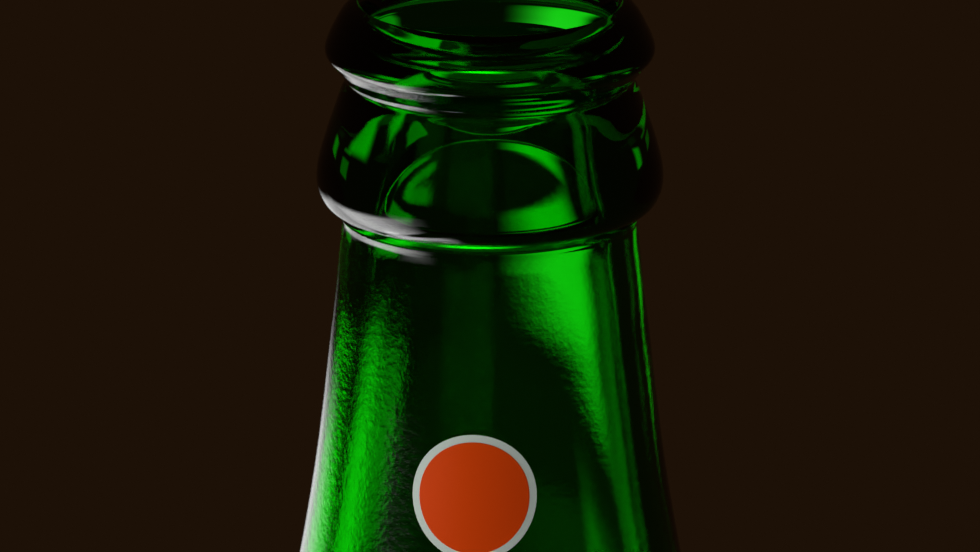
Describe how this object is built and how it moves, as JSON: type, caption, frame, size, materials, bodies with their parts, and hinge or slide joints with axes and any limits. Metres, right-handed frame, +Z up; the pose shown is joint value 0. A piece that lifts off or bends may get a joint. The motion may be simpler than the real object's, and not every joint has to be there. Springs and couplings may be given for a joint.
{
  "type": "beer bottle",
  "caption": "Empty, open green glass beer bottle with a long widening neck, a crown finish with a locking ring and a thick collar, and a domed base.",
  "frame": {"origin": "centre of the bottle's footprint, on the surface that it stands on", "axes": "+Z up along the bottle's axis, towards its mouth; -Y is the side that the picture shows"},
  "size_m": [0.0604, 0.0604, 0.22],
  "materials": {
    "green_glass": "smooth clear green container glass"
  },
  "bodies": {
    "root": {"bottle": "green_glass"}
  },
  "joints": []
}
